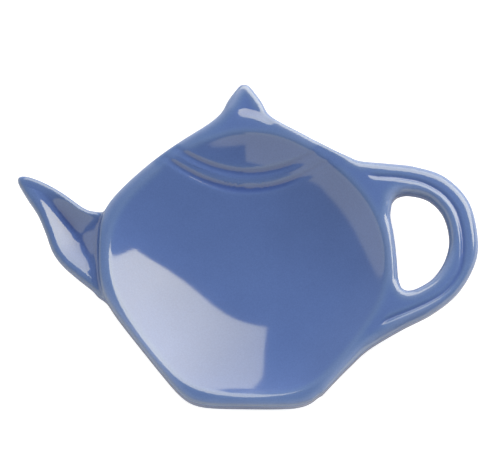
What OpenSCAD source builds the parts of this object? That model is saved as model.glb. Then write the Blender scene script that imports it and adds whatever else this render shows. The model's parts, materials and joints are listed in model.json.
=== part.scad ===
// Tea bag rest: a shallow dish in the outline of a teapot, pressed in clay and glazed blue.
// The dish, spout, handle, knob and foot ring are shaped on their own and luted face to face.
// +X points to the handle, +Y to the knob and +Z up. The origin lies on the resting plane,
// under the middle of the whole outline. Lengths are in millimetres.

/* [Outline] */
// Width of the dish between its two sides
body_w = 82.4; // [74:0.2:92]
// Width of the flat bottom edge of the outline
base_w = 33.4; // [27:0.2:40]
// Height of each side's lower corner over the outline's bottom edge
belly_low = 31.6; // [28:0.2:36]
// Height of each side's upper corner over the outline's bottom edge
belly_high = 55.4; // [50:0.2:60]
// Height of each shoulder's bend over the outline's bottom edge
shoulder_high = 70.8; // [66:0.2:76]
// Width between the bends of the two shoulders
shoulder_w = 52.8; // [44:0.2:60]
// Height of the peak where the shoulders would meet over the outline's bottom edge
peak_high = 85.2; // [80:0.2:96]
// How far the handle's side leans in at its upper corner
side_lean = 2; // [0:0.1:4]
// Rounding of the outline's corners
corner_soft = 2; // [1:0.1:3]

/* [Section] */
// Height of the rim over the resting plane
rim_h = 15.5; // [13:0.1:18]
// Depth of the well below the rim
well_depth = 9.6; // [7:0.1:10]
// Distance over which the well's wall runs down to its floor
well_run = 30; // [24:0.5:34]
// Rounding of the well's corners
well_soft = 4; // [2:0.5:6]
// Width of the lip before the well starts to fall
lip_w = 2.4; // [1.5:0.1:4]
// Radius of the lip's outer rounding
lip_r = 1.5; // [1:0.1:2.5]
// Height of the upright edge under the lip, to which spout, handle and knob are luted
edge_h = 5; // [4:0.1:6.5]

/* [Lid lines] */
// Radius of the two lines that mark the lid
lid_line_r = 38; // [34:0.5:46]
// Height of the lower line's middle over the outline's bottom edge
lid_line_high = 63; // [60:0.2:66]
// Distance between the two lines
lid_line_gap = 4.2; // [3.6:0.1:6]
// Width of a line
lid_line_w = 2.8; // [2:0.1:3.4]
// Depth of a line
lid_line_depth = 0.6; // [0.3:0.05:1]

/* [Spout] */
// How far the spout stands out from the dish
spout_reach = 22.6; // [18:0.1:28]
// Length from the lower end of the spout's root up to the top of its tip
spout_l = 32.6; // [27:0.2:39]
// Depth of the spout's trough
trough_depth = 3.2; // [2:0.1:4]

/* [Handle] */
// How far the handle stands out from the dish
handle_reach = 21.4; // [19:0.1:26]
// Length of the handle from its highest point to its lowest
handle_l = 53.6; // [48:0.2:60]
// Width of the finger hole
hole_w = 13.7; // [12:0.1:18]
// Length of the finger hole
hole_l = 28.2; // [23:0.2:32]
// Width of the handle's outer bead
bead_w = 3.4; // [2.6:0.1:4.2]
// Depth of the groove between the handle's two beads
groove_depth = 1.3; // [0.6:0.1:2]

/* [Knob] */
// How far the knob stands above the shoulders
knob_h = 6.8; // [5:0.1:10]
// Width of the knob a third of the way up
knob_w = 8.8; // [6:0.1:10]
// How far the peak and the knob sit to the spout's side of the middle
knob_off = 1.5; // [0:0.1:3]

/* [Foot] */
// Radius of the foot ring
foot_r = 22; // [18:0.5:23]
// Width of the foot ring
foot_w = 3.6; // [2.4:0.1:5]
// Height of the foot ring
foot_h = 2; // [1.2:0.1:3]
// Height of the foot ring's middle over the outline's bottom edge
foot_high = 40.3; // [37:0.1:43]

/* [Hidden] */

glaze_blue = "#5d74a6";
bare_clay = "#d8cbb6";

function lerp(a, b, t) = a + (b - a) * t;
function clamp(t) = max(0, min(1, t));
function unit(v) = v / norm(v);
function sum(list, i = 0) = i == len(list) ? 0 : list[i] + sum(list, i + 1);
function last(list) = list[len(list) - 1];

// Corners of the outline round the foot's middle, from the peak down the spout's side
corners = [
    [-knob_off, peak_high - foot_high],
    [-shoulder_w / 2, shoulder_high - foot_high],
    [-body_w / 2, belly_high - foot_high],
    [-body_w / 2, belly_low - foot_high],
    [-base_w / 2, -foot_high],
    [base_w / 2, -foot_high],
    [body_w / 2, belly_low - foot_high],
    [body_w / 2 - side_lean, belly_high - foot_high],
    [shoulder_w / 2, shoulder_high - foot_high]
];
function outward(a, b) = let (d = unit(b - a)) [d.y, -d.x];
sides = [for (i = [0 : len(corners) - 1])
    [outward(corners[i], corners[(i + 1) % len(corners)]), corners[i]]];

// Distance outside a soft-cornered fence along the sides: below zero inside it
function fence(p, soft) = soft * ln(sum([for (s = sides) exp(s[0] * (p - s[1]) / soft)]));
halvings = 24;
function out_to(way, near, far, n) =
    let (mid = (near + far) / 2)
    n == 0 ? mid :
    fence(mid * way, corner_soft) < 0 ? out_to(way, mid, far, n - 1) : out_to(way, near, mid, n - 1);
function rim_point(a) = let (way = [cos(a), sin(a)]) out_to(way, 0, body_w, halvings) * way;

// A smooth curve through hand-chosen points, in a few steps from each to the next
function curve_step(a, b, c, d, t) =
    (2 * b + (c - a) * t + (2 * a - 5 * b + 4 * c - d) * t * t + (3 * b - a - 3 * c + d) * t * t * t) / 2;
function through(list, fine) = let (n = len(list) - 1) [
    for (i = [0 : n - 1], k = [0 : fine - 1])
        let (before = i == 0 ? 2 * list[0] - list[1] : list[i - 1],
             after = i == n - 1 ? 2 * list[n] - list[n - 1] : list[i + 2])
        curve_step(before, list[i], list[i + 1], after, k / fine),
    list[n]
];

// A pressed form from rows of points, each with its place, upper height and lower height
module pressed(rows) {
    m = len(rows) - 1;
    n = len(rows[0]) - 1;
    under = (m + 1) * (n + 1);
    function top(i, j) = i * (n + 1) + j;
    function low(i, j) = under + top(i, j);
    function facets(a, b, c, d) = [[a, b, c], [a, c, d]];
    points = concat(
        [for (r = rows, p = r) [p.x, p.y, p.z]],
        [for (r = rows, p = r) [p.x, p.y, p[3]]]);
    faces = concat(
        [for (i = [0 : m - 1], j = [0 : n - 1])
            each facets(top(i, j), top(i + 1, j), top(i + 1, j + 1), top(i, j + 1))],
        [for (i = [0 : m - 1], j = [0 : n - 1])
            each facets(low(i, j), low(i, j + 1), low(i + 1, j + 1), low(i + 1, j))],
        [for (j = [0 : n - 1]) each facets(low(0, j), top(0, j), top(0, j + 1), low(0, j + 1))],
        [for (j = [0 : n - 1]) each facets(top(m, j), low(m, j), low(m, j + 1), top(m, j + 1))],
        [for (i = [0 : m - 1]) each facets(top(i, 0), low(i, 0), low(i + 1, 0), top(i + 1, 0))],
        [for (i = [0 : m - 1]) each facets(low(i, n), top(i, n), top(i + 1, n), low(i + 1, n))]);
    polyhedron(points, faces, convexity = 6);
}

// Rows across the dish, each named by the direction in which its end meets the outline
base_end = -73;
low_root_out = -55.5;
low_root_in = -7;
high_root_in = 20.7;
lid_rows_low = 45;
high_root_out = 58;
peak_end = 78.4;
base_rows = 8;
root_rows = 20;
gap_rows = 10;
lid_rows = 12;
peak_rows = 8;
function even(a, b, n) = [for (i = [0 : n - 1]) lerp(a, b, i / n)];
function crowded(a, b, n) = [for (i = [0 : n - 1]) lerp(b, a, pow(1 - i / n, 1.5))];
row_ends = concat(
    even(base_end, low_root_out, base_rows),
    even(low_root_out, low_root_in, root_rows),
    even(low_root_in, high_root_in, gap_rows),
    even(high_root_in, lid_rows_low, root_rows - lid_rows),
    even(lid_rows_low, high_root_out, lid_rows),
    crowded(high_root_out, peak_end, peak_rows),
    [peak_end]);
top_row = len(row_ends) - 1;
hole_low = base_rows + root_rows;
hole_high = hole_low + gap_rows;
right_ends = [for (a = row_ends) rim_point(a)];
left_ends = [for (a = row_ends) rim_point(180 - a)];

// How far a row sags in its middle, as a share of a lid line's own sag, by its direction
sag_shares = [[base_end, 0.4], [-63, 0.42], [low_root_out, 0.2], [-50, 0.12], [-20, 0.05], [0, 0.07],
    [high_root_in, 0.35], [lid_rows_low, 0.95], [50, 1], [high_root_out, 1], [64, 0.75], [70, -0.3],
    [75, -2.1], [peak_end, -4]];
function lid_sag(x) = x * x / (2 * lid_line_r);
row_middles = [for (i = [0 : top_row])
    right_ends[i].y - lookup(row_ends[i], sag_shares) * lid_sag(right_ends[i].x)];
half_columns = 15;
columns = [for (j = [-half_columns : half_columns])
    sign(j) * (1 - pow(1 - abs(j) / half_columns, 2))];
function row_point(i, u) =
    let (a = left_ends[i], b = right_ends[i])
    [lerp(a.x, b.x, (1 + u) / 2), lerp(row_middles[i], u < 0 ? a.y : b.y, u * u)];

// Heights of the dish
edge_top = rim_h - lip_r;
edge_low = edge_top - edge_h;
under_r = edge_h / 4;
flat_r = foot_r + foot_w;
function rounded_off(d, r) = r - sqrt(r * r - pow(r - max(0, min(d, r)), 2));
function line_share(p, high) =
    let (off = p.y - (high - foot_high) - lid_sag(p.x))
    abs(off) < lid_line_w / 2 ? pow(cos(180 * off / lid_line_w), 2) : 0;
function well_share(p) =
    let (inside = -fence(p, well_soft) - lip_w, eased = (inside + norm([inside, lip_r])) / 2)
    1 - pow(1 - clamp(eased / well_run), 2);
function dish_top(p) =
    let (inside = -fence(p, corner_soft),
         line = max(line_share(p, lid_line_high), line_share(p, lid_line_high + lid_line_gap)))
    rim_h - rounded_off(inside, lip_r) - well_depth * well_share(p)
        - lid_line_depth * line * clamp((inside - lip_r) / lip_w);
function dish_low(p) =
    let (inside = max(0, -fence(p, corner_soft)), outside = max(0, norm(p) - flat_r))
    lerp(foot_h, edge_low, outside == 0 ? 0 : outside / (outside + inside)) + rounded_off(inside, under_r);

module dish() {
    color(glaze_blue)
    translate(-middle)
    pressed([for (i = [0 : top_row]) [for (u = columns)
        let (p = row_point(i, u)) [p.x, p.y, dish_top(p), dish_low(p)]]]);
}

// A limb lies between two edge curves and starts on a stretch of the dish's edge, and the
// handle ends on a second one. A held share says how far into the limb that stretch still shows.
limb_high_share = 0.52;
side_middle = lerp(belly_low, belly_high, limb_high_share) - foot_high;
limb_r = 1.2;
limb_gap = 0.2;
limb_top = edge_top - limb_gap;
function spread(root) = [for (p = root) norm(p - root[0]) / norm(last(root) - root[0])];
function off_chord(root, shares) =
    [for (j = [0 : len(root) - 1]) root[j] - lerp(root[0], last(root), shares[j])];
function straight(root) = [for (t = spread(root)) lerp(root[0], last(root), t)];
function eased(t) = (1 - cos(180 * t)) / 2;
function limb_plan(edges, near_root, far_root, held) =
    let (near = spread(near_root), far = spread(far_root),
         near_off = off_chord(near_root, near), far_off = off_chord(far_root, far), m = len(edges) - 1)
    [for (i = [0 : m])
        let (s = i / m, a = [edges[i][0], edges[i][1]], b = [edges[i][2], edges[i][3]],
             near_hold = eased(clamp(1 - s / held)), far_hold = eased(clamp(1 - (1 - s) / held)))
        [for (j = [0 : len(near) - 1])
            lerp(a, b, lerp(near[j], far[j], s)) + near_hold * near_off[j] + far_hold * far_off[j]]];
function limb_edge(d, w) = rounded_off(min(d, w - d), min(limb_r, w / 2));

// Spout: x and y of its lower edge, then of its upper edge, as shares of its reach and length
spout_shares = [[0.075, -0.35, 0.058, 0.34], [0.261, -0.24, 0.181, 0.368], [0.438, -0.118, 0.305, 0.428],
    [0.562, 0, 0.425, 0.49], [0.652, 0.165, 0.571, 0.553], [0.748, 0.315, 0.717, 0.604],
    [0.868, 0.44, 0.85, 0.638], [0.962, 0.545, 0.934, 0.646], [0.993, 0.59, 0.998, 0.615]];
spout_low_rows = 4;
spout_fine = 3;
spout_held_share = 0.3;
tip_lift_share = 0.25;
trough_start_share = 0.22;
spout_root = [for (i = [hole_low - spout_low_rows : hole_high]) left_ends[i]];
function spout_place(x_share, y_share) =
    [-body_w / 2 - spout_reach * x_share, side_middle + spout_l * y_share];
spout_edges = through(concat(
    [concat(spout_root[0], last(spout_root))],
    [for (s = spout_shares) concat(spout_place(s[0], s[1]), spout_place(s[2], s[3]))]), spout_fine);
function trough(s, v) =
    trough_depth * pow(sin(180 * lerp(trough_start_share, 1, s)), 0.8) * pow(sin(180 * clamp(v)), 1.6);

module spout() {
    plan = limb_plan(spout_edges, spout_root, straight(spout_root), spout_held_share);
    m = len(plan) - 1;
    color(glaze_blue)
    translate(-middle)
    pressed([for (i = [0 : m])
        let (s = i / m, w = norm(last(plan[i]) - plan[i][0]))
        [for (p = plan[i])
            let (d = norm(p - plan[i][0]))
            [p.x, p.y, limb_top - limb_edge(d, w) - trough(s, d / w),
             edge_low + limb_edge(d, w) + edge_h * tip_lift_share * s]]]);
}

// Handle: x and y of its outer edge, as shares of its reach and length, then of the finger
// hole's edge, as shares of that hole's width and length
handle_shares = [[-0.5, 0.458, -0.165, 0.5], [-0.15, 0.453, -0.03, 0.566], [0.218, 0.4385, 0.22, 0.578],
    [0.59, 0.376, 0.6, 0.51], [0.88, 0.245, 0.85, 0.35], [1, 0.06, 0.937, 0.117],
    [0.94, -0.07, 0.862, -0.095], [0.722, -0.213, 0.65, -0.272], [0.405, -0.319, 0.37, -0.382],
    [0, -0.405, 0.158, -0.417], [-0.402, -0.508, 0.03, -0.393], [-0.635, -0.592, -0.015, -0.345]];
handle_fine = 4;
handle_held_share = 0.2;
high_handle_root = [for (i = [hole_high + root_rows : -1 : hole_high]) right_ends[i]];
low_handle_root = [for (i = [base_rows : hole_low]) right_ends[i]];
function handle_place(w, l, x_share, y_share) = [body_w / 2 + w * x_share, side_middle + l * y_share];
handle_edges = through(concat(
    [concat(high_handle_root[0], last(high_handle_root))],
    [for (s = handle_shares) concat(
        handle_place(handle_reach, handle_l, s[0], s[1]), handle_place(hole_w, hole_l, s[2], s[3]))],
    [concat(low_handle_root[0], last(low_handle_root))]), handle_fine);
function hollow(d, w) = 1 - pow(sin(180 * clamp(d / w)), 0.7);
function groove(d, w) = groove_depth * (d < bead_w ? hollow(d, bead_w) : hollow(d - bead_w, w - bead_w));

module handle() {
    plan = limb_plan(handle_edges, high_handle_root, low_handle_root, handle_held_share);
    m = len(plan) - 1;
    color(glaze_blue)
    translate(-middle)
    pressed([for (i = [0 : m])
        let (s = i / m, w = norm(last(plan[i]) - plan[i][0]),
             fade = clamp(min(s, 1 - s) / handle_held_share - 1 / 2))
        [for (p = plan[i])
            let (d = norm(p - plan[i][0]))
            [p.x, p.y, limb_top - max(fade * groove(d, w), limb_edge(d, w)), edge_low + limb_edge(d, w)]]]);
}

// Knob: height and half width of its outline, as shares of its own height and width
knob_shares = [[-0.05, 0.665], [0.31, 0.511], [0.5, 0.42], [0.66, 0.325], [0.84, 0.215], [0.96, 0.12], [1, 0.05]];
knob_fine = 2;
knob_held_share = 0.6;
knob_root = [for (u = columns) row_point(top_row, u)];
knob_edges = through(concat(
    [concat(knob_root[0], last(knob_root))],
    [for (s = knob_shares)
        let (high = row_middles[top_row] + knob_h * s[0])
        [-knob_off - knob_w * s[1], high, -knob_off + knob_w * s[1], high]]), knob_fine);

module knob() {
    plan = limb_plan(knob_edges, knob_root, straight(knob_root), knob_held_share);
    color(glaze_blue)
    translate(-middle)
    pressed([for (r = plan)
        let (w = norm(last(r) - r[0]))
        [for (p = r)
            let (d = norm(p - r[0])) [p.x, p.y, limb_top - limb_edge(d, w), edge_low + limb_edge(d, w)]]]);
}

// Foot ring, with its two edges on the resting plane broken
foot_break = 0.5;
foot_splay = 0.8;
foot_in = foot_r - foot_w;

module foot_ring() {
    color(bare_clay)
    translate(-middle)
    rotate_extrude($fn = 96)
    polygon([
        [foot_in, foot_break], [foot_in + foot_break, 0], [foot_r - foot_break, 0], [foot_r, foot_break],
        [foot_r + foot_splay, foot_h], [foot_in - foot_splay, foot_h]]);
}

// The middle of the whole outline, which lies over the origin
knob_top = row_middles[top_row] + knob_h;
middle = [
    (min([for (e = spout_edges) min(e[0], e[2])]) + max([for (e = handle_edges) e[0]])) / 2,
    (row_middles[0] + knob_top) / 2];

dish();
spout();
handle();
knob();
foot_ring();
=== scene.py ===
# %% [markdown]
# # A glazed tea bag rest
# The real object is a little dish in the outline of a teapot, pressed from clay, fired, dipped in
# a glossy blue glaze and fired again. Its dish, spout, handle and knob disappear under one coat
# of glaze, so they are shown here as one smooth skin. The foot ring underneath stays bare.
#
# The body could be modelled as a subdivided plane. A glossy glaze shows every small fault of such
# a surface in its reflections, so here the form is written down as a function first, and every
# vertex of a rough skin is then moved onto it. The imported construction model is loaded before
# anything else and stays the measure for everything.

# %% The construction model
import json
import math

import bmesh
import bpy
import numpy as np
from mathutils import Matrix, Vector

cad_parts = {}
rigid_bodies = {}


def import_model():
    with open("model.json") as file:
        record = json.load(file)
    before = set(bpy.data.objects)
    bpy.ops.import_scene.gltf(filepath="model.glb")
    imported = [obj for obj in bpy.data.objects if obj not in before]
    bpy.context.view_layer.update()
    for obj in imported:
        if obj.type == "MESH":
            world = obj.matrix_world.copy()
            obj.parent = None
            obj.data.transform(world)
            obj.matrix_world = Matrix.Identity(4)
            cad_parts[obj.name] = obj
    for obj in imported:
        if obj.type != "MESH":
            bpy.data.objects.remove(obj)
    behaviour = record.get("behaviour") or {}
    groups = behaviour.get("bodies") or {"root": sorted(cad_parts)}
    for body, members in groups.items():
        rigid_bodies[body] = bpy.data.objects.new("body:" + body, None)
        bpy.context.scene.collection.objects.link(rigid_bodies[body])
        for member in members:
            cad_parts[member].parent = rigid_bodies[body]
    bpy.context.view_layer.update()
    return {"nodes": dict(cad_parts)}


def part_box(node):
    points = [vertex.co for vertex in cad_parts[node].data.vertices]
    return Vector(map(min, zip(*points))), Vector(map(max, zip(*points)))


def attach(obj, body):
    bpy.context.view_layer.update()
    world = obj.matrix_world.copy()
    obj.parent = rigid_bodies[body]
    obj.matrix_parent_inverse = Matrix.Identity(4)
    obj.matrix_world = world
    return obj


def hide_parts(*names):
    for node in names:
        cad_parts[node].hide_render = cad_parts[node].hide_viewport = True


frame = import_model()
MM = 0.001
print("construction nodes:", sorted(frame["nodes"]))

# %% [markdown]
# ## Camera
# The photograph looks down steeply from the front through a long lens, so the outline hardly
# shows perspective. A camera without perspective would come close, but where the glaze shows the
# window depends on a real distance, so a long lens is used here too. One millimetre of the dish
# is 3.65 pixels wide, and the distance follows from that, the lens and the picture's width.

# %% Camera
PHOTO_W = 497
PIXELS_PER_MM = 3.65
lens, sensor = 200.0, 36.0
elevation = math.radians(76)
target = Vector((0.36, 5.5, 12.5)) * MM
distance = lens / sensor * PHOTO_W / PIXELS_PER_MM * MM
camera = bpy.data.objects.new("camera", bpy.data.cameras.new("camera"))
camera.data.lens = lens
camera.data.sensor_width = sensor
camera.data.clip_end = 20
towards = Vector((0, -math.cos(elevation), math.sin(elevation)))
camera.location = target + towards * distance
camera.rotation_euler = towards.to_track_quat("Z", "Y").to_euler()
bpy.context.scene.collection.objects.link(camera)
bpy.context.scene.camera = camera
print("camera distance in metres:", round(distance, 3))

# %% [markdown]
# ## Sizes
# A mould maker draws in millimetres. All modelling is done in millimetres too, around the middle
# of the foot ring, and the finished meshes are scaled to metres once, which keeps the numbers
# readable. Nearly all sizes are the construction model's. The few that differ, by less than a
# millimetre, were measured again in the photograph. The places of belly, shoulder and peak are
# counted up from the outline's lowest line, so foot_high, the middle's own, is taken off them.

# %% Sizes
foot_low, foot_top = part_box("foot_ring")
foot_middle = (foot_low + foot_top) / 2
foot_x, foot_y = foot_middle.x / MM, foot_middle.y / MM
body_w, base_w, shoulder_w = 82.4, 33.4, 52.8
foot_high = 40.3
belly_low, belly_high, shoulder_high, peak_high = 31.6, 55.4, 70.8, 85.2
side_lean, knob_off, corner_soft = 2.0, 1.5, 2.0
rim_h, well_depth, well_run, well_soft, lip_w = 15.5, 9.6, 30.0, 4.0, 1.5
edge_low, limb_top = 9.0, 13.8
limb_share = 0.52
limb_middle = belly_low + limb_share * (belly_high - belly_low) - foot_high
print("foot ring's middle:", round(foot_x, 2), round(foot_y, 2))

# %% [markdown]
# ## Soft corners and fillets
# A pressed and glazed dish has no sharp edge anywhere. Bevels would round a mesh's edges, but
# they meet badly where several edges join. Here every edge is rounded before there is a mesh. A
# form is a distance, below zero inside the clay, and a soft maximum or minimum of two distances
# turns the edge or the crease between them into a fillet.

# %% Soft corners and fillets
def soft_max(a, b, soft):
    h = np.maximum(soft - np.abs(a - b), 0) / soft
    return np.maximum(a, b) + h ** 3 * soft / 6


def soft_min(a, b, soft):
    return -soft_max(-a, -b, soft)


def ease(t):
    """A smooth step from 0 to 1."""
    t = np.clip(t, 0, 1)
    return t * t * (3 - 2 * t)


def ramp(value, start, run):
    """A smooth step from 0, where a value reaches start, to 1, where it has gone a run further."""
    return ease((value - start) / run)


print("a fillet of 2 mm adds at most", round(float(soft_max(0, 0, 2.0)), 2), "mm")

# %% [markdown]
# ## Outline of the dish
# Seen from above, the teapot's body has nine sides and well rounded corners. It could be drawn
# as a curve with handles. A fence of nine straight sides needs nothing but its corners: the
# distances from all the sides are added up softly, and their sum is zero on a line that passes
# every corner in a bow.

# %% Outline of the dish
# The real outline isn't quite even: three of its corners stand a little off their sizes.
left_belly_drop, left_base_in, left_base_rise, right_base_rise = 0.4, 0.2, 0.5, 0.2
corners = np.array([
    (-knob_off, peak_high - foot_high), (-shoulder_w / 2, shoulder_high - foot_high),
    (-body_w / 2, belly_high - foot_high - left_belly_drop), (-body_w / 2, belly_low - foot_high),
    (left_base_in - base_w / 2, left_base_rise - foot_high),
    (base_w / 2, right_base_rise - foot_high),
    (body_w / 2, belly_low - foot_high), (body_w / 2 - side_lean, belly_high - foot_high),
    (shoulder_w / 2, shoulder_high - foot_high)])
along = np.roll(corners, -1, axis=0) - corners
outward = np.stack([along[:, 1], -along[:, 0]], 1) / np.linalg.norm(along, axis=1)[:, None]


def fence(x, y, soft):
    """Distance outside the dish's outline, below zero inside it."""
    total = sum(np.exp(((x - c[0]) * n[0] + (y - c[1]) * n[1]) / soft)
                for c, n in zip(corners, outward))
    return soft * np.log(total)


def rim_point(angle):
    """Where a line from the middle crosses the outline, found by halving."""
    near, far = 0.0, body_w
    for _ in range(30):
        r = (near + far) / 2
        if fence(r * math.cos(angle), r * math.sin(angle), corner_soft) < 0:
            near = r
        else:
            far = r
    return near * math.cos(angle), near * math.sin(angle)


print("rim at the handle's side:", np.round(rim_point(0.0), 2))

# %% [markdown]
# ## Well and lid lines
# The well falls steeply inside the lip and runs out flat in the middle. The lip is broader under
# the knob and along the base. Two pressed lines mark the teapot's lid: each has a steep wall on
# the lid's side and a slow one on the other, which is why the glaze shows a dark line with a pale
# one under it. Lines like these could be bump in the material, but pressed ones show from every
# side, so they are cut into the form. They cross the left rim faintly and end before the right.

# %% Heights of the dish
lid_line_r, lid_line_high, lid_line_gap, lid_line_depth = 38.0, 62.7, 4.2, 0.46
lid_wall_w, lid_slope_w = 1.2, 2.1
knob_lip, knob_lip_r, base_lip, base_lip_r = 3.6, 9.0, 1.2, 5
brow_soft, faint, right_loss = 0.55, 0.25, 0.75
foot_h, flat_r = 2.0, 25.6


def above_line(x, y, high):
    """How far a place lies above a lid line, which bows up towards both ends."""
    return y - (high - foot_high) - x * x / (2 * lid_line_r)


def lid_line(x, y, high):
    off = above_line(x, y, high)
    w = np.where(off > 0, lid_wall_w, lid_slope_w)
    return np.cos(np.clip(off / w, -1, 1) * math.pi / 2) ** 2


def dish_top(x, y, plan):
    from_knob = (x + knob_off) ** 2 + (y - corners[0][1]) ** 2
    broad = knob_lip * np.exp(-from_knob / (2 * knob_lip_r ** 2))
    broad = broad + base_lip * np.exp(-((y - corners[4][1]) / base_lip_r) ** 2)
    inside = -fence(x, y, well_soft) - lip_w - broad
    eased = (inside + np.hypot(inside, brow_soft)) / 2
    well = 1 - (1 - np.clip(eased / well_run, 0, 1)) ** 2
    lines = np.maximum(lid_line(x, y, lid_line_high), lid_line(x, y, lid_line_high + lid_line_gap))
    # On the left the lines start faintly, 0.5 mm inside the edge, and are full 5 mm inside it. On
    # the right they start 1.5 mm inside it, and lose three quarters of their depth on the way.
    left = faint * ramp(-plan, 0.5, 1.2) + (1 - faint) * ramp(-plan, 2, 3)
    right = ramp(-plan, 1.5, 3) * (1 - right_loss * ramp(x, 9, 10))
    lines *= np.where(x < 0, left, right)
    return rim_h - well_depth * well - lid_line_depth * lines


def dish_low(x, y, plan):
    """The underside: flat over the foot ring, then rising to the edge."""
    inside, outside = np.maximum(-plan, 0), np.maximum(np.hypot(x, y) - flat_r, 0)
    return foot_h + (edge_low - foot_h) * outside / (outside + inside + 1e-6)


middle = np.zeros(1)
well_floor = float(dish_top(middle, middle, fence(middle, middle, corner_soft))[0])
print("well's floor at", round(well_floor, 2), "mm")

# %% [markdown]
# ## Curves in plan
# Spout and handle are bent by hand, so their outlines have no straight piece and no true arc. A
# smooth curve through a few places describes them. It knows how far a point lies from it, on
# which side, and how far along, and everything else in a limb's section follows from those three.
# Blender's own curves could be drawn through the same places, but they don't answer that.

# %% Curves in plan
def smooth_curve(points, steps):
    """A curve through all the points, with a few steps between each two."""
    p = np.array(points, float)
    p = np.vstack([2 * p[0] - p[1], p, 2 * p[-1] - p[-2]])
    t = np.linspace(0, 1, steps, endpoint=False)[:, None]
    rows = [(2 * b + (c - a) * t + (2 * a - 5 * b + 4 * c - d) * t ** 2
             + (3 * b - a - 3 * c + d) * t ** 3) / 2
            for a, b, c, d in zip(p, p[1:], p[2:], p[3:])]
    return np.vstack(rows + [p[-2:-1]])


def beside(x, y, line):
    """Distance from a line, left of it above zero, and the share of its length passed."""
    a, d = line[:-1], np.diff(line, axis=0)
    size = np.hypot(d[:, 0], d[:, 1])
    px, py = x[:, None] - a[:, 0], y[:, None] - a[:, 1]
    t = np.clip((px * d[:, 0] + py * d[:, 1]) / size ** 2, 0, 1)
    away = np.hypot(px - t * d[:, 0], py - t * d[:, 1])
    k = away.argmin(1)
    row = np.arange(len(x))
    side = np.where(d[k, 0] * py[row, k] - d[k, 1] * px[row, k] > 0, 1.0, -1.0)
    passed = (np.cumsum(size) - size)[k] + t[row, k] * size[k]
    return away[row, k], side, passed / size.sum()


def within(x, y, outline):
    """Distance outside a closed outline, below zero inside it."""
    ring = np.vstack([outline, outline[:1]])
    a, b = ring[:-1], ring[1:]
    crossing = (a[:, 1] > y[:, None]) != (b[:, 1] > y[:, None])
    rise = np.where(b[:, 1] == a[:, 1], 1e-9, b[:, 1] - a[:, 1])
    at = a[:, 0] + (y[:, None] - a[:, 1]) / rise * (b[:, 0] - a[:, 0])
    odd = (crossing & (x[:, None] < at)).sum(1) % 2 == 1
    return np.where(odd, -1, 1) * beside(x, y, ring)[0]


square = np.array([(-1, -1), (1, -1), (1, 1), (-1, 1)], float)
print("middle of a square of 2 mm:", within(middle, middle, square)[0], "mm outside it")

# %% [markdown]
# ## Outlines of spout and handle
# The places are shares of each limb's reach and length, so a change of one size carries the
# whole limb with it. Each outline starts and ends inside the dish, where the join hides it. The
# finger hole is a closed curve of its own, because on the real dish it was cut from the slab.

# %% Outlines of spout and handle
def places(shares, w, l, side):
    return [(side * (body_w / 2 + w * a), limb_middle + l * b) for a, b in shares]


spout_reach, spout_l = 22.6, 32.6
spout_lower = smooth_curve([(-34, -12), (-40.4, -9.5)] + places([
    (0.075, -0.331), (0.261, -0.228), (0.438, -0.118), (0.562, 0), (0.652, 0.165), (0.748, 0.315),
    (0.868, 0.44), (0.962, 0.545), (0.993, 0.59), (0.998, 0.615)], spout_reach, spout_l, -1), 8)
spout_upper = smooth_curve([(-34, 14)] + places([
    (0.058, 0.34), (0.181, 0.368), (0.305, 0.428), (0.425, 0.49), (0.571, 0.553), (0.717, 0.604),
    (0.85, 0.638), (0.934, 0.646), (0.985, 0.635), (0.998, 0.615)], spout_reach, spout_l, -1), 8)
spout_outline = np.vstack([spout_lower, spout_upper[-2::-1]])
handle_reach, handle_l, hole_w, hole_l = 21.4, 53.6, 13.7, 28.2
handle_outer = smooth_curve([(18.5, 33.6)] + places([
    (-0.68, 0.499), (-0.5, 0.47), (-0.15, 0.458), (0.218, 0.443), (0.6, 0.39), (0.9, 0.258),
    (1.006, 0.06), (0.952, -0.075), (0.735, -0.219), (0.41, -0.325), (0.003, -0.41),
    (-0.402, -0.508), (-0.635, -0.592), (-0.762, -0.641)],
    handle_reach, handle_l, 1) + [(19.5, -36.0)], 10)
handle_outline = np.vstack([handle_outer, [(20, 0)]])
handle_hole = smooth_curve([(37, 8)] + places([
    (-0.175, 0.4), (-0.14, 0.48), (-0.02, 0.545), (0.22, 0.564), (0.6, 0.51), (0.885, 0.354),
    (0.992, 0.117), (0.895, -0.095), (0.66, -0.272), (0.37, -0.37), (0.158, -0.403),
    (0.03, -0.38), (-0.03, -0.33)], hole_w, hole_l, 1) + [(38, 0)], 8)
print("points on the handle's curves:", len(handle_outer), len(handle_hole))

# %% [markdown]
# ## Section of the spout
# The spout is a shallow trough. Its valley runs from the tip down to the lower end of its root,
# not along its middle, so one bank is narrow and steep and the other broad and slow. It could be
# scraped out with a sculpting brush, but the banks reflect the window and the card in clean
# shapes, which only an even slope does. So each bank's height follows from the share of the way
# that a place has gone from the spout's edge to the valley.

# %% Spout
spout_valley = smooth_curve([(-61.2, 21.6), (-57.0, 19.6), (-52.5, 14.9), (-48.4, 9.6),
                             (-44.6, 3.4), (-43.4, -1.2), (-42.9, -4.8)], 8)
trough_depth, tip_share, root_loss = 3.0, 0.05, 0.9
slow_margin, margin_loss, steep_margin, wall_in = 2.7, 0.7, 1.2, 0.9
valley_soft, valley_flat, brink_share, steep_soft = 1.7, 1.3, 0.3, 0.12
spout_lift, spout_edge, spout_under_soft, root_in, root_soft = 0.6, 2.4, 1.6, 1.2, 1.0


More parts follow.
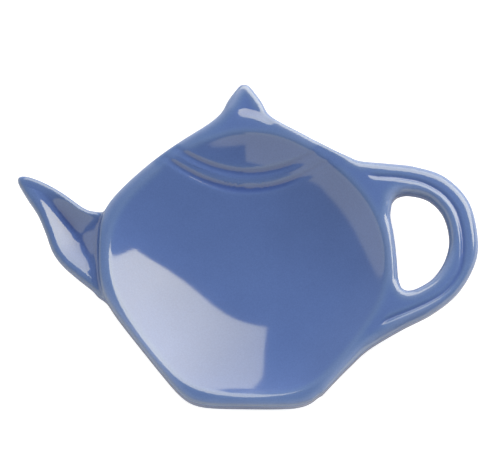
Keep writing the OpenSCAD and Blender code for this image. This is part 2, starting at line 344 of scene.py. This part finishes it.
def spout(x, y, z, plan):
    """Distance outside the spout's clay."""
    outline = within(x, y, spout_outline)
    low, high = beside(x, y, spout_lower)[0], beside(x, y, spout_upper)[0]
    across, side, passed = beside(x, y, spout_valley)
    # The slow bank starts 2.7 mm inside the edge at the tip and 2 mm inside it further down. The
    # steep one starts 1.2 mm inside it, and meets the dish's wall in the same way.
    low = np.maximum(low - slow_margin + margin_loss * ease(passed / 0.4), 0)
    high = np.minimum(np.maximum(high - steep_margin, 0), np.maximum(plan + wall_in, 0))
    slow = low / (low + np.hypot(across, valley_soft) - valley_flat)
    slow = brink_share + (1 - brink_share) * (0.75 * slow + 0.25 * ease(slow))
    share = 1 - high / (high + across + 1e-6)
    steep = 1 - (np.hypot(share, steep_soft) - steep_soft) / (math.hypot(1, steep_soft) - steep_soft)
    # From the tip the trough deepens over half of its length, and it runs out towards the root.
    from_tip, to_root = ramp(passed, 0.08, 0.44), ramp(passed, 0.6, 0.36)
    depth = trough_depth * (tip_share + (1 - tip_share) * from_tip) * (1 - root_loss * to_root)
    top = limb_top - depth * np.where(side > 0, steep, slow)
    lift = spout_lift * ramp(-x, body_w / 2, spout_reach)
    limb = soft_max(outline, z - top, spout_edge)
    limb = soft_max(limb, edge_low + lift - z, spout_under_soft)
    return soft_max(limb, -plan - root_in, root_soft)


print("spout's valley has", len(spout_valley), "points")

# %% [markdown]
# ## Section of the handle
# The handle has two beads side by side, as if two rolls of clay had been laid along each other,
# with a groove between them. The groove follows a line of its own between the outer edge and the
# finger hole, and fades out where the roots widen into the dish. An array of rolls would need a
# join that nobody sees. A narrow dip along the groove's line gives the same two beads.

# %% Handle
groove_depth, groove_out_w, groove_in_w = 0.42, 0.7, 0.62
groove_in, groove_run, opening_soft = 0.4, 2.5, 1.0
slope_w, brink_w, handle_run = 2.4, 2.2, 22
handle_groove = smooth_curve(places([
    (-0.4, 0.378), (-0.2, 0.379), (0.005, 0.374), (0.261, 0.356), (0.45, 0.322), (0.6, 0.276),
    (0.722, 0.204), (0.785, 0.11), (0.803, 0.01), (0.77, -0.09), (0.683, -0.16), (0.54, -0.226),
    (0.363, -0.273), (0.15, -0.314), (-0.098, -0.355), (-0.251, -0.381), (-0.4, -0.41)],
    handle_reach, handle_l, 1), 6)


def handle(x, y, plan):
    """Distance outside the handle's outline, and how far its top lies under the rim's level."""
    opening = within(x, y, handle_hole)
    out = beside(x, y, handle_outer)[0]
    away, side, _ = beside(x, y, handle_groove)
    off = -side * away
    groove = np.exp(-(off / np.where(off < 0, groove_out_w, groove_in_w)) ** 2)
    # The groove begins near the dish's outline and is full 2 to 3 mm outside it.
    groove = groove * ease((plan + groove_in - ease(y / 10)) / groove_run)
    edge = np.maximum(1 - out / slope_w, 0) ** 2
    brink = np.clip(1 - soft_max(opening, -plan, opening_soft) / brink_w, 0, 1) ** 2
    sunk = (rim_h - limb_top) * ease(plan / handle_run)
    fall = sunk + ramp(plan, -0.3, 2) * (groove_depth * groove + edge) + brink
    return soft_max(within(x, y, handle_outline), -opening, opening_soft), fall


print("handle's groove has", len(handle_groove), "points")

# %% [markdown]
# ## Knob
# The knob is a small rounded cone in low relief that rises out of a hollow behind the rim. A cone
# of its own could be joined to the rim, but a potter pulls it out of the same clay, so it is one
# more outline here, with a rounder edge on its right and the hollow in front of it.

# %% Knob
knob_sunk, knob_aside = 1.9, 0.25
knob_base = peak_high - foot_high - knob_sunk
knob_h, knob_w, knob_fall, crown_fall = 7.75, 9.5, 0.65, 0.6
hollow_x, hollow_left_w, hollow_right_w, hollow_flat = 2.9, 5.6, 3.8, 1.45
knob_half = smooth_curve([
    (1.7, -1.4), (0.99, -0.5), (0.665, -0.04), (0.52, 0.31), (0.42, 0.5), (0.325, 0.66),
    (0.215, 0.84), (0.12, 0.96), (0, 1)], 6) * (knob_w, knob_h)
knob_outline = np.vstack([knob_half, knob_half[-2::-1] * (-1, 1)])
knob_outline = knob_outline + (knob_aside - knob_off, knob_base)


def knob(x, y, plan):
    """Distance outside the knob's outline, and how far its top lies under the rim's level."""
    edge = within(x, y, knob_outline)
    # The hollow reaches further to the left of its middle than to the right.
    hollow_w = np.where(x < hollow_x, hollow_left_w, hollow_right_w)
    sideways = ease(hollow_flat - np.abs(x - hollow_x) / hollow_w)
    hollow = knob_fall * ramp(plan, -2.7, 3.1) * sideways
    crown = np.clip(1 + edge / 2, 0, 1) ** 2 * ramp(x, -knob_off, 2)
    return edge, hollow + crown_fall * crown * ramp(plan, -0.5, 1.5) * ease(2 - edge)


print("knob's tip at", np.round(knob_outline[:, 1].max() + foot_y, 2), "mm")

# %% [markdown]
# ## The whole form
# On the real dish slip and glaze fill every crease between the parts. Booleans with a bevel would
# imitate that. A soft minimum of the sections is the same fillet without an edge to choose. Below
# zero is clay. A limb is only worked out near itself, which keeps the sums short.

# %% Form
join_soft, rim_soft, under_soft, handle_soft, knob_soft = 1.8, 1.9, 2.0, 2.0, 1.9
root_depth = 4.5


def plan_and_top(x, y):
    """Distance outside the dish, distance outside dish, handle and knob, and the top's height."""
    plan = fence(x, y, corner_soft)
    outline, top = plan.copy(), dish_top(x, y, plan)
    for limb, near, soft in ((handle, (plan > -root_depth) & (x > 15), handle_soft),
                             (knob, (plan > -root_depth) & (y > 32), knob_soft)):
        edge, fall = limb(x[near], y[near], plan[near])
        outline[near] = soft_min(outline[near], edge, soft)
        top[near] -= fall
    return plan, outline, top


def form(p):
    x, y, z = p.T
    plan, outline, top = plan_and_top(x, y)
    whole = soft_max(soft_max(outline, z - top, rim_soft), dish_low(x, y, plan) - z, under_soft)
    near = (plan > -root_depth) & (x < -32) & (y > -24)
    at_spout = spout(x[near], y[near], z[near], plan[near])
    whole[near] = soft_min(whole[near], at_spout, join_soft)
    return whole


above = form(np.array([(0.0, 0.0, well_floor + 1), (0.0, 0.0, well_floor - 1)]))
print("1 mm over the well's floor and 1 mm under it:", np.round(above, 2))

# %% [markdown]
# ## Rough clay
# As at the bench, the work starts with rough slabs: a tapered slab for the dish and a flat slab
# for each limb. A single grid could be bent to the form as well, but it would be stretched thin
# round the rim and the finger hole. The dish's slab is three rings that are bridged, and each
# limb's slab is its outline, raised.

# %% Slabs
def slab(outline, low, high):
    made = bmesh.new()
    bottom = made.faces.new([made.verts.new((x, y, low)) for x, y in outline])
    grown = bmesh.ops.extrude_face_region(made, geom=[bottom], use_keep_orig=True)["geom"]
    upper = [v for v in grown if isinstance(v, bmesh.types.BMVert)]
    bmesh.ops.translate(made, vec=(0, 0, high - low), verts=upper)
    bmesh.ops.recalc_face_normals(made, faces=made.faces)
    return made


def dish_slab():
    made = bmesh.new()
    rings = []
    for r, z in ((26.0, foot_h), (None, edge_low), (None, rim_h - 0.5)):
        ring = bmesh.ops.create_circle(made, segments=120, radius=r or 1,
                                       matrix=Matrix.Translation((0, 0, z)))["verts"]
        if r is None:
            for v in ring:
                v.co.xy = rim_point(math.atan2(v.co.y, v.co.x))
        rings.append(ring)
    for lower, upper in zip(rings, rings[1:]):
        loops = {e for ring in (lower, upper) for v in ring for e in v.link_edges
                 if len(e.link_faces) < 2 and all(w in ring for w in e.verts)}
        bmesh.ops.bridge_loops(made, edges=list(loops))
    bmesh.ops.holes_fill(made, edges=made.edges, sides=0)
    bmesh.ops.recalc_face_normals(made, faces=made.faces)
    return made


rough = bpy.data.meshes.new("rough_clay")
gathered = bmesh.new()
for made in (dish_slab(), slab(spout_outline, edge_low, limb_top),
             slab(np.vstack([handle_outer, handle_hole[::-1]]), edge_low, limb_top),
             slab(knob_outline, edge_low, limb_top)):
    made.to_mesh(rough)
    made.free()
    gathered.from_mesh(rough)
gathered.to_mesh(rough)
gathered.free()
print("rough clay:", len(rough.polygons), "faces")

# %% [markdown]
# ## Welding
# At the bench the parts are scored, wetted with slip and pushed together. A voxel remesh does the
# same to the slabs: whatever overlaps becomes one closed skin of even small faces. Boolean unions
# would join them too, but they leave long thin faces, which shade badly under a glossy glaze.

# %% Welding the slabs
VOXEL = 0.56
clay = bpy.data.objects.new("glazed_body", rough)
bpy.context.scene.collection.objects.link(clay)
weld = clay.modifiers.new("weld", "REMESH")
weld.mode = "VOXEL"
weld.voxel_size = VOXEL
welded = bpy.data.meshes.new_from_object(clay.evaluated_get(bpy.context.evaluated_depsgraph_get()))
clay.modifiers.clear()
clay.data = welded
welded.name = "glazed_body"
print("welded clay:", len(welded.vertices), "vertices")

# %% [markdown]
# ## Finer faces
# The lid lines, the handle's groove and the spout's banks are finer than the skin's faces. Smaller
# voxels everywhere would make a needlessly heavy mesh, so only the faces that lie there are cut in
# four, and those on the lid lines themselves once more.

# %% Finer faces
fine_h, line_h, groove_reach, line_skirt, line_reach = 7, 10, 1.9, 3.4, 1.3
skin = bmesh.new()
skin.from_mesh(welded)


def face_middles():
    skin.faces.ensure_lookup_table()
    return np.array([f.calc_center_median() for f in skin.faces]).T


def cut_in_four(chosen):
    cut = {e for k in np.flatnonzero(chosen) for e in skin.faces[k].edges}
    bmesh.ops.subdivide_edges(skin, edges=list(cut), cuts=1, use_grid_fill=True)


x, y, z = face_middles()
plan, off = fence(x, y, corner_soft), above_line(x, y, lid_line_high)
to_groove = np.full(len(x), body_w)
to_groove[x > 25] = beside(x[x > 25], y[x > 25], handle_groove)[0]
on_limb = (plan > -1) & ((to_groove < groove_reach) | (x < -body_w / 2 + 1))
on_lid = (plan < 0) & (off > -line_skirt) & (off < lid_line_gap + lid_wall_w)
cut_in_four((z > limb_top - 3) & on_limb | (z > fine_h) & on_lid)
x, y, z = face_middles()
plan, off = fence(x, y, corner_soft), above_line(x, y, lid_line_high)
on_line = (np.abs(off) < line_reach) | (np.abs(off - lid_line_gap) < line_reach)
cut_in_four((z > line_h) & (plan < -0.7) & on_line)
skin.verts.ensure_lookup_table()
print("after cutting fine faces:", len(skin.verts), "vertices")

# %% [markdown]
# ## Pressing
# The press is a mould: every vertex is moved along the form's own slope until it lies on its
# surface. A shrinkwrap onto a finer mesh would only repeat that mesh's faults. A smoothing step
# between two pressings spreads the faces evenly.

# %% Pressing
longest_move, least_slope = 1.5, 0.2


def slope(p, value, step=1e-3):
    return np.stack([(form(p + d) - value) / step for d in np.eye(3) * step], 1)


def press(p, strokes):
    for _ in range(strokes):
        value = form(p)
        way = slope(p, value)
        move = value[:, None] * way / np.maximum((way ** 2).sum(1), least_slope)[:, None]
        length = np.linalg.norm(move, axis=1)
        p = p - move * np.minimum(1, longest_move / np.maximum(length, 1e-9))[:, None]
    return p


for strokes, smoothings in ((8, 3), (4, 3), (3, 0)):
    p = press(np.array([v.co for v in skin.verts]), strokes)
    for v, co in zip(skin.verts, p):
        v.co = co
    for _ in range(smoothings):
        bmesh.ops.smooth_vert(skin, verts=skin.verts, factor=0.5,
                              use_axis_x=True, use_axis_y=True, use_axis_z=True)
left = form(p)
print("left off the form at most:", round(float(np.abs(left).max()), 3), "mm")

# %% [markdown]
# ## Which way the glaze faces
# Fired glaze is smoother than any mesh. Blender's smooth shading averages the faces' directions,
# which shows as ripples in the window's reflection. The form's slope gives the true direction at
# every vertex. Where a curve ends, the slope can jump, so those few vertices borrow it from a
# place 0.04 mm further along each axis.

# %% Directions
aside = 0.04
normals = slope(p, left)
size = np.linalg.norm(normals, axis=1)
wild = (size > 2) | (size < 0.3)
normals[wild] = slope(p[wild] + aside, form(p[wild] + aside))
normals /= np.linalg.norm(normals, axis=1)[:, None]
print("vertices that borrow their direction:", int(wild.sum()))

# %% [markdown]
# ## How the glaze lies, with painted shade
# Molten glaze runs off every ridge and gathers in every hollow, so the real dish is paler along
# its edges. The colour could be painted on. Here it follows from the form: how far a vertex
# stands out from the average of its neighbourhood tells ridge from hollow, and a band along the rim
# counts as a slight ridge. Painted shade is laid over that: the band is weaker along the base, and
# upright edges count for less, so the lower and upright sides are darker. The result is kept as an
# attribute that the glaze's colour reads.

# %% Ridges and hollows
rim_band, rim_ridge, base_shade_share, upright_shade_loss, upright_shade_drop = 4.5, 0.1, 0.3, 0.6, 0.08
edges = np.array([[v.index for v in e.verts] for e in skin.edges])
count = np.bincount(edges.ravel(), minlength=len(p))[:, None]
around = p
for _ in range(10):
    total = np.stack([np.bincount(edges[:, 0], around[edges[:, 1], k], len(p)) +
                      np.bincount(edges[:, 1], around[edges[:, 0], k], len(p)) for k in range(3)], 1)
    around = (around + total / count) / 2
ridge_and_shade = ((p - around) * normals).sum(1)
plan, outline, _ = plan_and_top(p[:, 0], p[:, 1])
limb = (plan > -2) & (p[:, 0] < -32)
outline[limb] = np.minimum(outline[limb], within(p[limb, 0], p[limb, 1], spout_outline))
band = np.clip(1 + outline / rim_band, 0, 1) ** 1.5
# Along the base the band keeps only 0.3 of its paleness: painted shade that darkens the lower edge.
ridge_and_shade += rim_ridge * band * (base_shade_share + (1 - base_shade_share) * ramp(p[:, 1], -40, 15))
# Upright edges are made darker: painted shade on the side walls.
upright = ease((0.5 - normals[:, 2]) / 0.5)
ridge_and_shade -= upright * (upright_shade_loss * ridge_and_shade + upright_shade_drop)
print("ridges and hollows in mm:", np.round(np.percentile(ridge_and_shade, (1, 10, 50, 90, 99)), 3))

# %% [markdown]
# ## The finished body
# The skin is scaled to metres and moved to the foot ring's place, because an object here stays at
# the origin, unscaled, with its place in its mesh. It takes along the directions and the ridges with
# their painted shade, and stands for the four construction nodes that share one coat of glaze.

# %% Glazed body
to_frame = Matrix.Scale(MM, 4) @ Matrix.Translation((foot_x, foot_y, 0))
bmesh.ops.transform(skin, matrix=to_frame, verts=skin.verts)
skin.to_mesh(welded)
skin.free()
welded.shade_smooth()
welded.normals_split_custom_set_from_vertices(normals)
stored = welded.attributes.new("ridge_and_shade", "FLOAT", "POINT")
stored.data.foreach_set("value", ridge_and_shade.astype(np.float32))
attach(clay, "root")
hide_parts("dish", "spout", "handle", "knob")
print("glazed body:", sum(len(f.vertices) - 2 for f in welded.polygons), "triangles")

# %% [markdown]
# ## Foot ring
# The ring was turned on the foot of the dish and its face was wiped clean of glaze, so that it
# doesn't stick to the kiln's shelf. Two cylinders would give its size but not its broken edges,
# so it is made as it was turned: a profile with softened edges, spun round the middle.

# %% Foot ring
foot_r, foot_w, foot_splay = 22.0, 3.6, 0.8
foot_in = foot_r - foot_w
# The ring's side, from its face up: how far each place lies inside the ring's width, and how high.
ring_side = ((0.8, 0.0), (0.25, 0.2), (-0.1, 0.7), (-foot_splay, foot_h))
turned = [(foot_in + w, z) for w, z in ring_side[::-1]] + [(foot_in + foot_w / 2, 0.0)]
turned += [(foot_r - w, z) for w, z in ring_side]
ring = bmesh.new()
profile = [ring.verts.new((x, 0, z)) for x, z in turned]
profile_edges = [ring.edges.new(pair) for pair in zip(profile, profile[1:] + profile[:1])]
bmesh.ops.spin(ring, geom=profile + profile_edges, cent=(0, 0, 0), axis=(0, 0, 1), angle=math.tau,
               steps=144, use_merge=True)
bmesh.ops.remove_doubles(ring, verts=ring.verts, dist=0.001)
bmesh.ops.recalc_face_normals(ring, faces=ring.faces)
bmesh.ops.transform(ring, matrix=to_frame, verts=ring.verts)
foot = bpy.data.objects.new("bare_foot_ring", bpy.data.meshes.new("bare_foot_ring"))
ring.to_mesh(foot.data)
ring.free()
foot.data.shade_smooth()
bpy.context.scene.collection.objects.link(foot)
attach(foot, "root")
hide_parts("foot_ring")
print("foot ring:", len(foot.data.polygons), "faces")

# %% [markdown]
# ## Materials
# Glaze and clay could be photographs wrapped round the meshes. Nodes are used instead, because
# they stay sharp at any distance and are stated in real sizes. One helper turns a colour's hex
# value to linear light, one starts a finish, and one adds a node with its settings, the stops of
# its colour ramp and its links.

# %% Helpers for finishes
def linear(hex_colour):
    s = [int(hex_colour[i:i + 2], 16) / 255 for i in (1, 3, 5)]
    return tuple(c / 12.92 if c <= 0.04045 else ((c + 0.055) / 1.055) ** 2.4 for c in s) + (1.0,)


def add(tree, kind, settings=None, stops=(), **inputs):
    """Add a node. An input goes by its name, with _ for a space, or by its number, as in i0."""
    node = tree.nodes.new(kind)
    for name, value in (settings or {}).items():
        setattr(node, name, value)
    for _ in stops[2:]:
        node.color_ramp.elements.new(0.5)
    for k, (place, colour) in enumerate(stops):
        node.color_ramp.elements[k].position, node.color_ramp.elements[k].color = place, colour
    for name, value in inputs.items():
        numbered = name[0] == "i" and name[1:].isdigit()
        socket = node.inputs[int(name[1:]) if numbered else name.replace("_", " ")]
        if isinstance(value, bpy.types.NodeSocket):
            tree.links.new(value, socket)
        else:
            socket.default_value = value
    return node


def new_finish(name):
    material = bpy.data.materials.new(name)
    material.use_nodes = True
    material.node_tree.nodes.clear()
    return material, material.node_tree


print("mid grey in linear light:", round(linear("#808080")[0], 3))

# %% [markdown]
# ### Glossy blue glaze
# An earthenware glaze, dipped and fired to a smooth glass of about 0.2 mm. Where it is thin, on
# ridges, the pale clay shows through a little, and where it has gathered it is deeper. Clouds
# some 17 mm wide and a grain of 0.4 mm vary its tone. Fired glaze is never quite flat: it keeps
# slow waves some 7 mm apart and a fine orange peel of 0.7 mm. A clear coat over a blue base is
# the other way to make it. One layer that bends light as strongly as lead glass mirrors the
# window as brightly as the real one, and its tint makes those reflections slightly warm. The
# colour comes first, from the ridges with their painted shade on lower and upright edges, the
# clouds and the grain.

# %% Colour of the glaze
glaze, tree = new_finish("glossy blue glaze on earthenware")
place = add(tree, "ShaderNodeTexCoord").outputs["Object"]
# The attribute holds ridges and hollows together with painted shade on the lower and upright edges.
ridge_and_shade_fac = add(tree, "ShaderNodeAttribute", {"attribute_name": "ridge_and_shade"}).outputs["Fac"]
share = add(tree, "ShaderNodeMapRange", {"clamp": True},
            Value=ridge_and_shade_fac, From_Min=-0.2, From_Max=0.4).outputs["Result"]
tone = add(tree, "ShaderNodeValToRGB", Fac=share, stops=(
    (0.0, linear("#465e9c")), (0.33, linear("#5770a7")),
    (0.5, linear("#6079a8")), (1.0, linear("#8093ba"))))
cloud = add(tree, "ShaderNodeTexNoise", Vector=place, Scale=60.0, Detail=3.0,
            Roughness=0.5).outputs["Fac"]
mottle = add(tree, "ShaderNodeTexNoise", Vector=place, Scale=2400.0, Detail=2.0,
             Roughness=0.6).outputs["Fac"]
cloudy = add(tree, "ShaderNodeMapRange", Value=cloud, From_Min=0.3, From_Max=0.7,
             To_Min=0.96, To_Max=1.04).outputs["Result"]
mottled = add(tree, "ShaderNodeMapRange", Value=mottle, From_Min=0.3, From_Max=0.7,
              To_Min=0.94, To_Max=1.06).outputs["Result"]
strength = add(tree, "ShaderNodeMath", {"operation": "MULTIPLY"}, i0=cloudy, i1=mottled).outputs[0]
colour = add(tree, "ShaderNodeVectorMath", {"operation": "SCALE"},
             i0=tone.outputs["Color"], Scale=strength).outputs[0]
print("glaze: colour from", len(tree.nodes), "nodes")

# %% [markdown]
# The surface follows, from the waves and the peel. Both are far too low to show in an outline, so
# bump is enough for them, while everything that changes the shape is in the mesh.

# %% Surface of the glaze
waves = add(tree, "ShaderNodeTexNoise", Vector=place, Scale=140.0, Detail=1.0,
            Roughness=0.4).outputs["Fac"]
wavy = add(tree, "ShaderNodeBump", Strength=0.25, Distance=0.00006, Height=waves).outputs["Normal"]
peel = add(tree, "ShaderNodeTexNoise", Vector=place, Scale=1500.0, Detail=1.0).outputs["Fac"]
surface = add(tree, "ShaderNodeBump", Strength=0.12, Distance=0.00001, Height=peel,
              Normal=wavy).outputs["Normal"]
shader = add(tree, "ShaderNodeBsdfPrincipled", Base_Color=colour, Roughness=0.08, IOR=1.7,
             Normal=surface, Specular_Tint=(1.0, 0.94, 0.7, 1.0))
add(tree, "ShaderNodeOutputMaterial", Surface=shader.outputs["BSDF"])
clay.data.materials.clear()
clay.data.materials.append(glaze)
print("glaze:", len(tree.nodes), "nodes")

# %% [markdown]
# ### Bare fired clay
# The wiped foot is matt and cream coloured. The clay's grog, crushed fired clay, stands out as
# grains of about 0.6 mm, which one noise gives to both the colour and the bump.

# %% Bare clay
bare, tree = new_finish("bare fired earthenware")
place = add(tree, "ShaderNodeTexCoord").outputs["Object"]
grog = add(tree, "ShaderNodeTexNoise", Vector=place, Scale=1600.0, Detail=3.0).outputs["Fac"]
tone = add(tree, "ShaderNodeValToRGB", Fac=grog,
           stops=((0.3, linear("#c3b49b")), (0.7, linear("#dccfb9"))))
rough_face = add(tree, "ShaderNodeBump", Strength=0.4, Distance=0.00004,
                 Height=grog).outputs["Normal"]
shader = add(tree, "ShaderNodeBsdfPrincipled", Base_Color=tone.outputs["Color"], Roughness=0.85,
             Normal=rough_face)
add(tree, "ShaderNodeOutputMaterial", Surface=shader.outputs["BSDF"])
foot.data.materials.append(bare)
print("bare clay:", len(tree.nodes), "nodes")

# %% [markdown]
# ## Floor
# The dish lies on plain white paper that keeps its shadow. More light would turn grey paper white
# but would bleach the glaze too. So the paper is plain, and a glow is added that only the camera
# and the glaze's reflections see. In reflections the glow fades where the dish shades the paper,
# as in the gap under the rim.

# %% Floor
floor_mesh = bpy.data.meshes.new("floor")
sheet = bmesh.new()
bmesh.ops.create_grid(sheet, x_segments=1, y_segments=1, size=3.0)
sheet.to_mesh(floor_mesh)
sheet.free()
floor = bpy.data.objects.new("floor", floor_mesh)
bpy.context.scene.collection.objects.link(floor)
white, tree = new_finish("white paper floor")
path = add(tree, "ShaderNodeLightPath")
seen = add(tree, "ShaderNodeMath", {"operation": "MAXIMUM"},
           i0=path.outputs["Is Camera Ray"], i1=path.outputs["Is Transmission Ray"])
seen = add(tree, "ShaderNodeMath", {"operation": "MAXIMUM"},
           i0=seen.outputs[0], i1=path.outputs["Is Glossy Ray"])
matt = add(tree, "ShaderNodeBsdfDiffuse", Color=linear("#cccccc"))
open_sky = add(tree, "ShaderNodeAmbientOcclusion", {"samples": 8}, Distance=0.03).outputs["AO"]
open_sky = add(tree, "ShaderNodeMath", {"operation": "POWER"}, i0=open_sky, i1=3.5).outputs[0]
bright = add(tree, "ShaderNodeMath", {"operation": "MAXIMUM"},
             i0=open_sky, i1=path.outputs["Is Camera Ray"]).outputs[0]
bright = add(tree, "ShaderNodeMath", {"operation": "MULTIPLY"}, i0=bright, i1=0.82).outputs[0]
glow = add(tree, "ShaderNodeEmission", Color=linear("#ffffff"), Strength=bright)
dark = add(tree, "ShaderNodeEmission", Color=linear("#000000"), Strength=0.0)
lit = add(tree, "ShaderNodeMixShader", i0=seen.outputs[0], i1=dark.outputs[0], i2=glow.outputs[0])
both = add(tree, "ShaderNodeAddShader", i0=matt.outputs[0], i1=lit.outputs[0])
add(tree, "ShaderNodeOutputMaterial", Surface=both.outputs[0])
floor_mesh.materials.append(white)
print("floor:", floor.dimensions.x, "m")

# %% [markdown]
# ## The room
# What the glaze mirrors makes half of its look: in the photograph the studio's pale walls, its
# dark ceiling, a grey card and a window. Walls could be built round the dish. The world does it
# with nothing in the camera's way: it is given a brightness for each direction, by shares that
# say how far a ray points one way.

# %% Room
world = bpy.data.worlds.new("studio")
bpy.context.scene.world = world
world.use_nodes = True
tree = world.node_tree
tree.nodes.clear()
path = add(tree, "ShaderNodeLightPath")
way = add(tree, "ShaderNodeTexCoord").outputs["Generated"]
times, larger = {"operation": "MULTIPLY"}, {"operation": "MAXIMUM"}   # settings of a Math node


def towards_share(direction, low, high):
    """How far a ray points in a direction, 0 at the low value and 1 at the high one."""
    dot = add(tree, "ShaderNodeVectorMath", {"operation": "DOT_PRODUCT"},
              i0=way, i1=Vector(direction).normalized()).outputs["Value"]
    return add(tree, "ShaderNodeMapRange", {"clamp": True},
               Value=dot, From_Min=low, From_Max=high).outputs["Result"]


print("room: ways into it", len(tree.nodes))

# %% [markdown]
# ### Grey card
# A dim grey card on the left front shows as the crescent on the well's other wall and as the grey
# patch on the lid. Its outline follows from where those reflections end in the photograph. Each
# share that rises from 0 to 1 within a few hundredths is one straight side of it.

# %% Grey card
high_part = add(tree, "ShaderNodeMath", larger, i0=towards_share((-0.26, -0.97, -0.65), 0, 0.02),
                i1=towards_share((-0.85, -0.53, -0.83), 0, 0.02)).outputs[0]
high_part = add(tree, "ShaderNodeMath", times, i0=high_part,
                i1=towards_share((-0.998, -0.07, 0), -0.01, 0.02)).outputs[0]
low_part = add(tree, "ShaderNodeMath", times, i0=towards_share((0.26, -0.97, -1.04), 0, 0.02),
               i1=towards_share((-0.87, -0.5, 0), -0.01, 0.02)).outputs[0]
card = add(tree, "ShaderNodeMath", larger, i0=high_part, i1=low_part).outputs[0]
card = add(tree, "ShaderNodeMath", times, i0=card,
           i1=towards_share((-0.545, -0.839, 0), -0.01, 0.02)).outputs[0]
print("room with its card:", len(tree.nodes), "nodes")

# %% [markdown]
# ### Walls
# The walls are pale at the dish's height and dark overhead, and dimmer in front, where the camera
# stands. The card is laid over them, and a pale strip low behind the dish brightens what its edge
# mirrors. The camera itself sees plain white instead of all this.

# %% Walls
upward = add(tree, "ShaderNodeSeparateXYZ", Vector=way).outputs["Z"]
walls = add(tree, "ShaderNodeValToRGB", Fac=upward, stops=(
    (0.0, (0.95, 0.95, 0.95, 1)), (0.25, (0.3, 0.3, 0.31, 1)), (0.7, (0.12, 0.125, 0.2, 1))))
dimmed = add(tree, "ShaderNodeMath", times, i0=towards_share((0.25, -0.97, 0), 0.3, 0.9),
             i1=0.65).outputs[0]
front = add(tree, "ShaderNodeMix", {"data_type": "RGBA"}, i0=dimmed,
            i6=walls.outputs["Color"], i7=(0.05, 0.05, 0.06, 1)).outputs[2]
tinted = add(tree, "ShaderNodeMix", {"data_type": "RGBA"}, i0=card,
             i6=front, i7=(1.15, 1.12, 1.0, 1)).outputs[2]
behind = add(tree, "ShaderNodeMath", times, i0=towards_share((0.7, 0.7, 0), -0.1, 0.1),
             i1=towards_share((0, 0, -1), -0.2, -0.15)).outputs[0]
lit = add(tree, "ShaderNodeMix", {"data_type": "RGBA"}, i0=behind,
          i6=tinted, i7=(2.2, 2.2, 2.2, 1)).outputs[2]
room = add(tree, "ShaderNodeBackground", Color=lit, Strength=1.0)
plain = add(tree, "ShaderNodeBackground", Color=(1, 1, 1, 1), Strength=1.0)
seen = add(tree, "ShaderNodeMath", larger, i0=path.outputs["Is Camera Ray"],
           i1=path.outputs["Is Transmission Ray"]).outputs[0]
mix = add(tree, "ShaderNodeMixShader", i0=seen, i1=room.outputs[0], i2=plain.outputs[0])
add(tree, "ShaderNodeOutputWorld", Surface=mix.outputs[0])
print("room:", len(tree.nodes), "nodes")

# %% [markdown]
# ## The soft box
# One large window-like light stands behind the dish on the right and shows as the pale shape in
# the well. An area light takes its place and size from a matrix, so a small helper works those
# out from what was measured: the two ends of the light's near edge and how it leans. A falloff
# across its width makes the reflection fade to the right, as in the photograph.

# %% Soft box
def lamp(name, near_a, near_b, reach, dip, radiance, tint):
    """A soft box from the two ends of its near edge and its reach, outward and down by dip."""
    a, b = Vector(near_a), Vector(near_b)
    across = (b - a).normalized()
    outward = Vector((-across.y, across.x, 0))
    outward = outward if (a + b).dot(outward) > 0 else -outward
    down = (outward * math.sin(dip) - Vector((0, 0, math.cos(dip)))).normalized()
    centre = (a + b + down * reach) / 2
    back = across.cross(down)
    back = back if back.dot(centre) > 0 else -back
    side = down.cross(back)
    data = bpy.data.lights.new(name, "AREA")
    data.shape, data.size, data.size_y = "RECTANGLE", (b - a).length, reach
    data.color = tint
    data.energy = radiance * data.size * data.size_y * math.pi
    data.use_nodes = True
    tree = data.node_tree
    tree.nodes.clear()
    spot = add(tree, "ShaderNodeNewGeometry").outputs["Parametric"]
    share = add(tree, "ShaderNodeSeparateXYZ", Vector=spot).outputs["X"]
    falling = add(tree, "ShaderNodeMapRange", {"clamp": True}, Value=share,
                  From_Min=0.0, From_Max=0.65, To_Min=0.6, To_Max=1.1).outputs["Result"]
    shine = add(tree, "ShaderNodeEmission", Strength=falling)
    add(tree, "ShaderNodeOutputLight", Surface=shine.outputs[0])
    box = bpy.data.objects.new(name, data)
    box.matrix_world = Matrix((side, down, back)).transposed().to_4x4()
    box.location = centre
    box.visible_camera = False
    bpy.context.scene.collection.objects.link(box)


lamp_high = 1.4
lamp("soft box", near_a=(0.98 * lamp_high, 0.22 * lamp_high, lamp_high),
     near_b=(-0.14 * lamp_high, 0.63 * lamp_high, lamp_high), reach=0.86 * lamp_high,
     dip=math.radians(28), radiance=5.1, tint=(1.0, 0.98, 0.92))
bpy.context.scene.view_settings.view_transform = "Standard"
